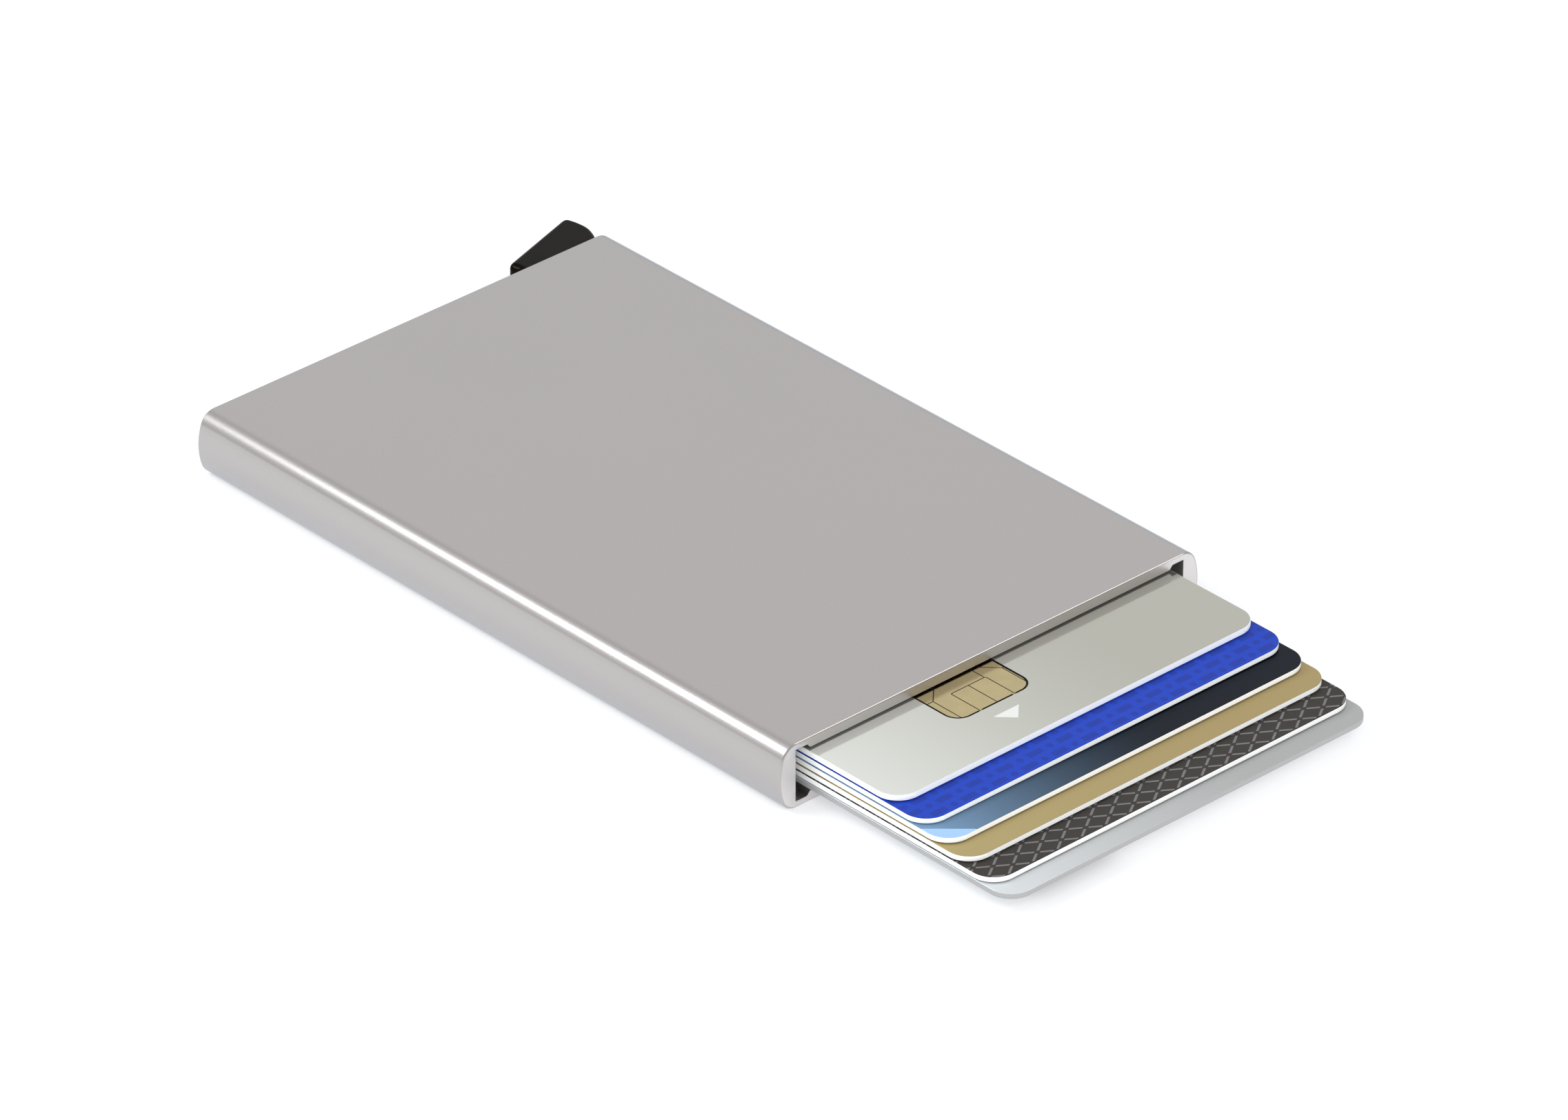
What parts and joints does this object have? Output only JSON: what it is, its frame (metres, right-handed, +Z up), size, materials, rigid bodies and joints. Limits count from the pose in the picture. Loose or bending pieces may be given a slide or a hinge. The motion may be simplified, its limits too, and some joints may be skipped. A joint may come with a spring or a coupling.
{
  "type": "pop up card holder",
  "caption": "Flat extruded aluminium card holder with a stepped fan of cards standing out of its mouth and a sprung lever at one rear corner that pushes them out.",
  "frame": {"origin": "middle of the case's flat underside", "axes": "+X across the holder towards the lever's side, +Y along it from the mouth where the cards come out to the rear where the lever is, +Z up out of the top face"},
  "size_m": [0.062, 0.134, 0.008],
  "materials": {
    "satin_aluminium": "satin anodised, fine bead-blasted grain",
    "black_moulding": "matte black moulded plastic",
    "spring_steel": "drawn wire, bright",
    "friction_felt": "short black felt",
    "pale_grey_card": "glossy laminate",
    "blue_card": "glossy laminate",
    "navy_card": "glossy laminate",
    "gold_card": "glossy laminate with a metallic print",
    "dark_brown_card": "glossy laminate",
    "silver_card": "glossy laminate",
    "gold_contact": "plated contact pads"
  },
  "bodies": {
    "case": {"case_shell": "satin_aluminium", "rear_plug": "black_moulding", "pivot_pin": "spring_steel", "return_spring_fixed_leg": "spring_steel", "left_friction_strip": "friction_felt", "right_friction_strip": "friction_felt"},
    "lever": {"eject_lever": "black_moulding", "ejector_finger_1": "black_moulding", "ejector_finger_2": "black_moulding", "ejector_finger_3": "black_moulding", "ejector_finger_4": "black_moulding", "ejector_finger_5": "black_moulding", "ejector_finger_6": "black_moulding", "return_spring_coil": "spring_steel"},
    "first_card": {"card_1": "pale_grey_card", "contact_plate": "gold_contact"},
    "second_card": {"card_2": "blue_card"},
    "third_card": {"card_3": "navy_card"},
    "fourth_card": {"card_4": "gold_card"},
    "fifth_card": {"card_5": "dark_brown_card"},
    "sixth_card": {"card_6": "silver_card"}
  },
  "joints": [
    {"name": "lever_press", "type": "hinge", "parent": "case", "child": "lever", "pos_m": [0.022, 0.0425, 0.004], "axis": [0, 0, 1], "range_deg": [0, 45], "stiffness_Nm_per_rad": 0.008, "springref_deg": -22.92},
    {"name": "first_card_slide", "type": "slide", "parent": "case", "child": "first_card", "axis": [0, -1, 0], "range_m": [-0.014, 0.0518]},
    {"name": "second_card_slide", "type": "slide", "parent": "case", "child": "second_card", "axis": [0, -1, 0], "range_m": [-0.0183, 0.0475]},
    {"name": "third_card_slide", "type": "slide", "parent": "case", "child": "third_card", "axis": [0, -1, 0], "range_m": [-0.0217, 0.0441]},
    {"name": "fourth_card_slide", "type": "slide", "parent": "case", "child": "fourth_card", "axis": [0, -1, 0], "range_m": [-0.0249, 0.0409]},
    {"name": "fifth_card_slide", "type": "slide", "parent": "case", "child": "fifth_card", "axis": [0, -1, 0], "range_m": [-0.0286, 0.0372]},
    {"name": "sixth_card_slide", "type": "slide", "parent": "case", "child": "sixth_card", "axis": [0, -1, 0], "range_m": [-0.0313, 0.0345]}
  ]
}
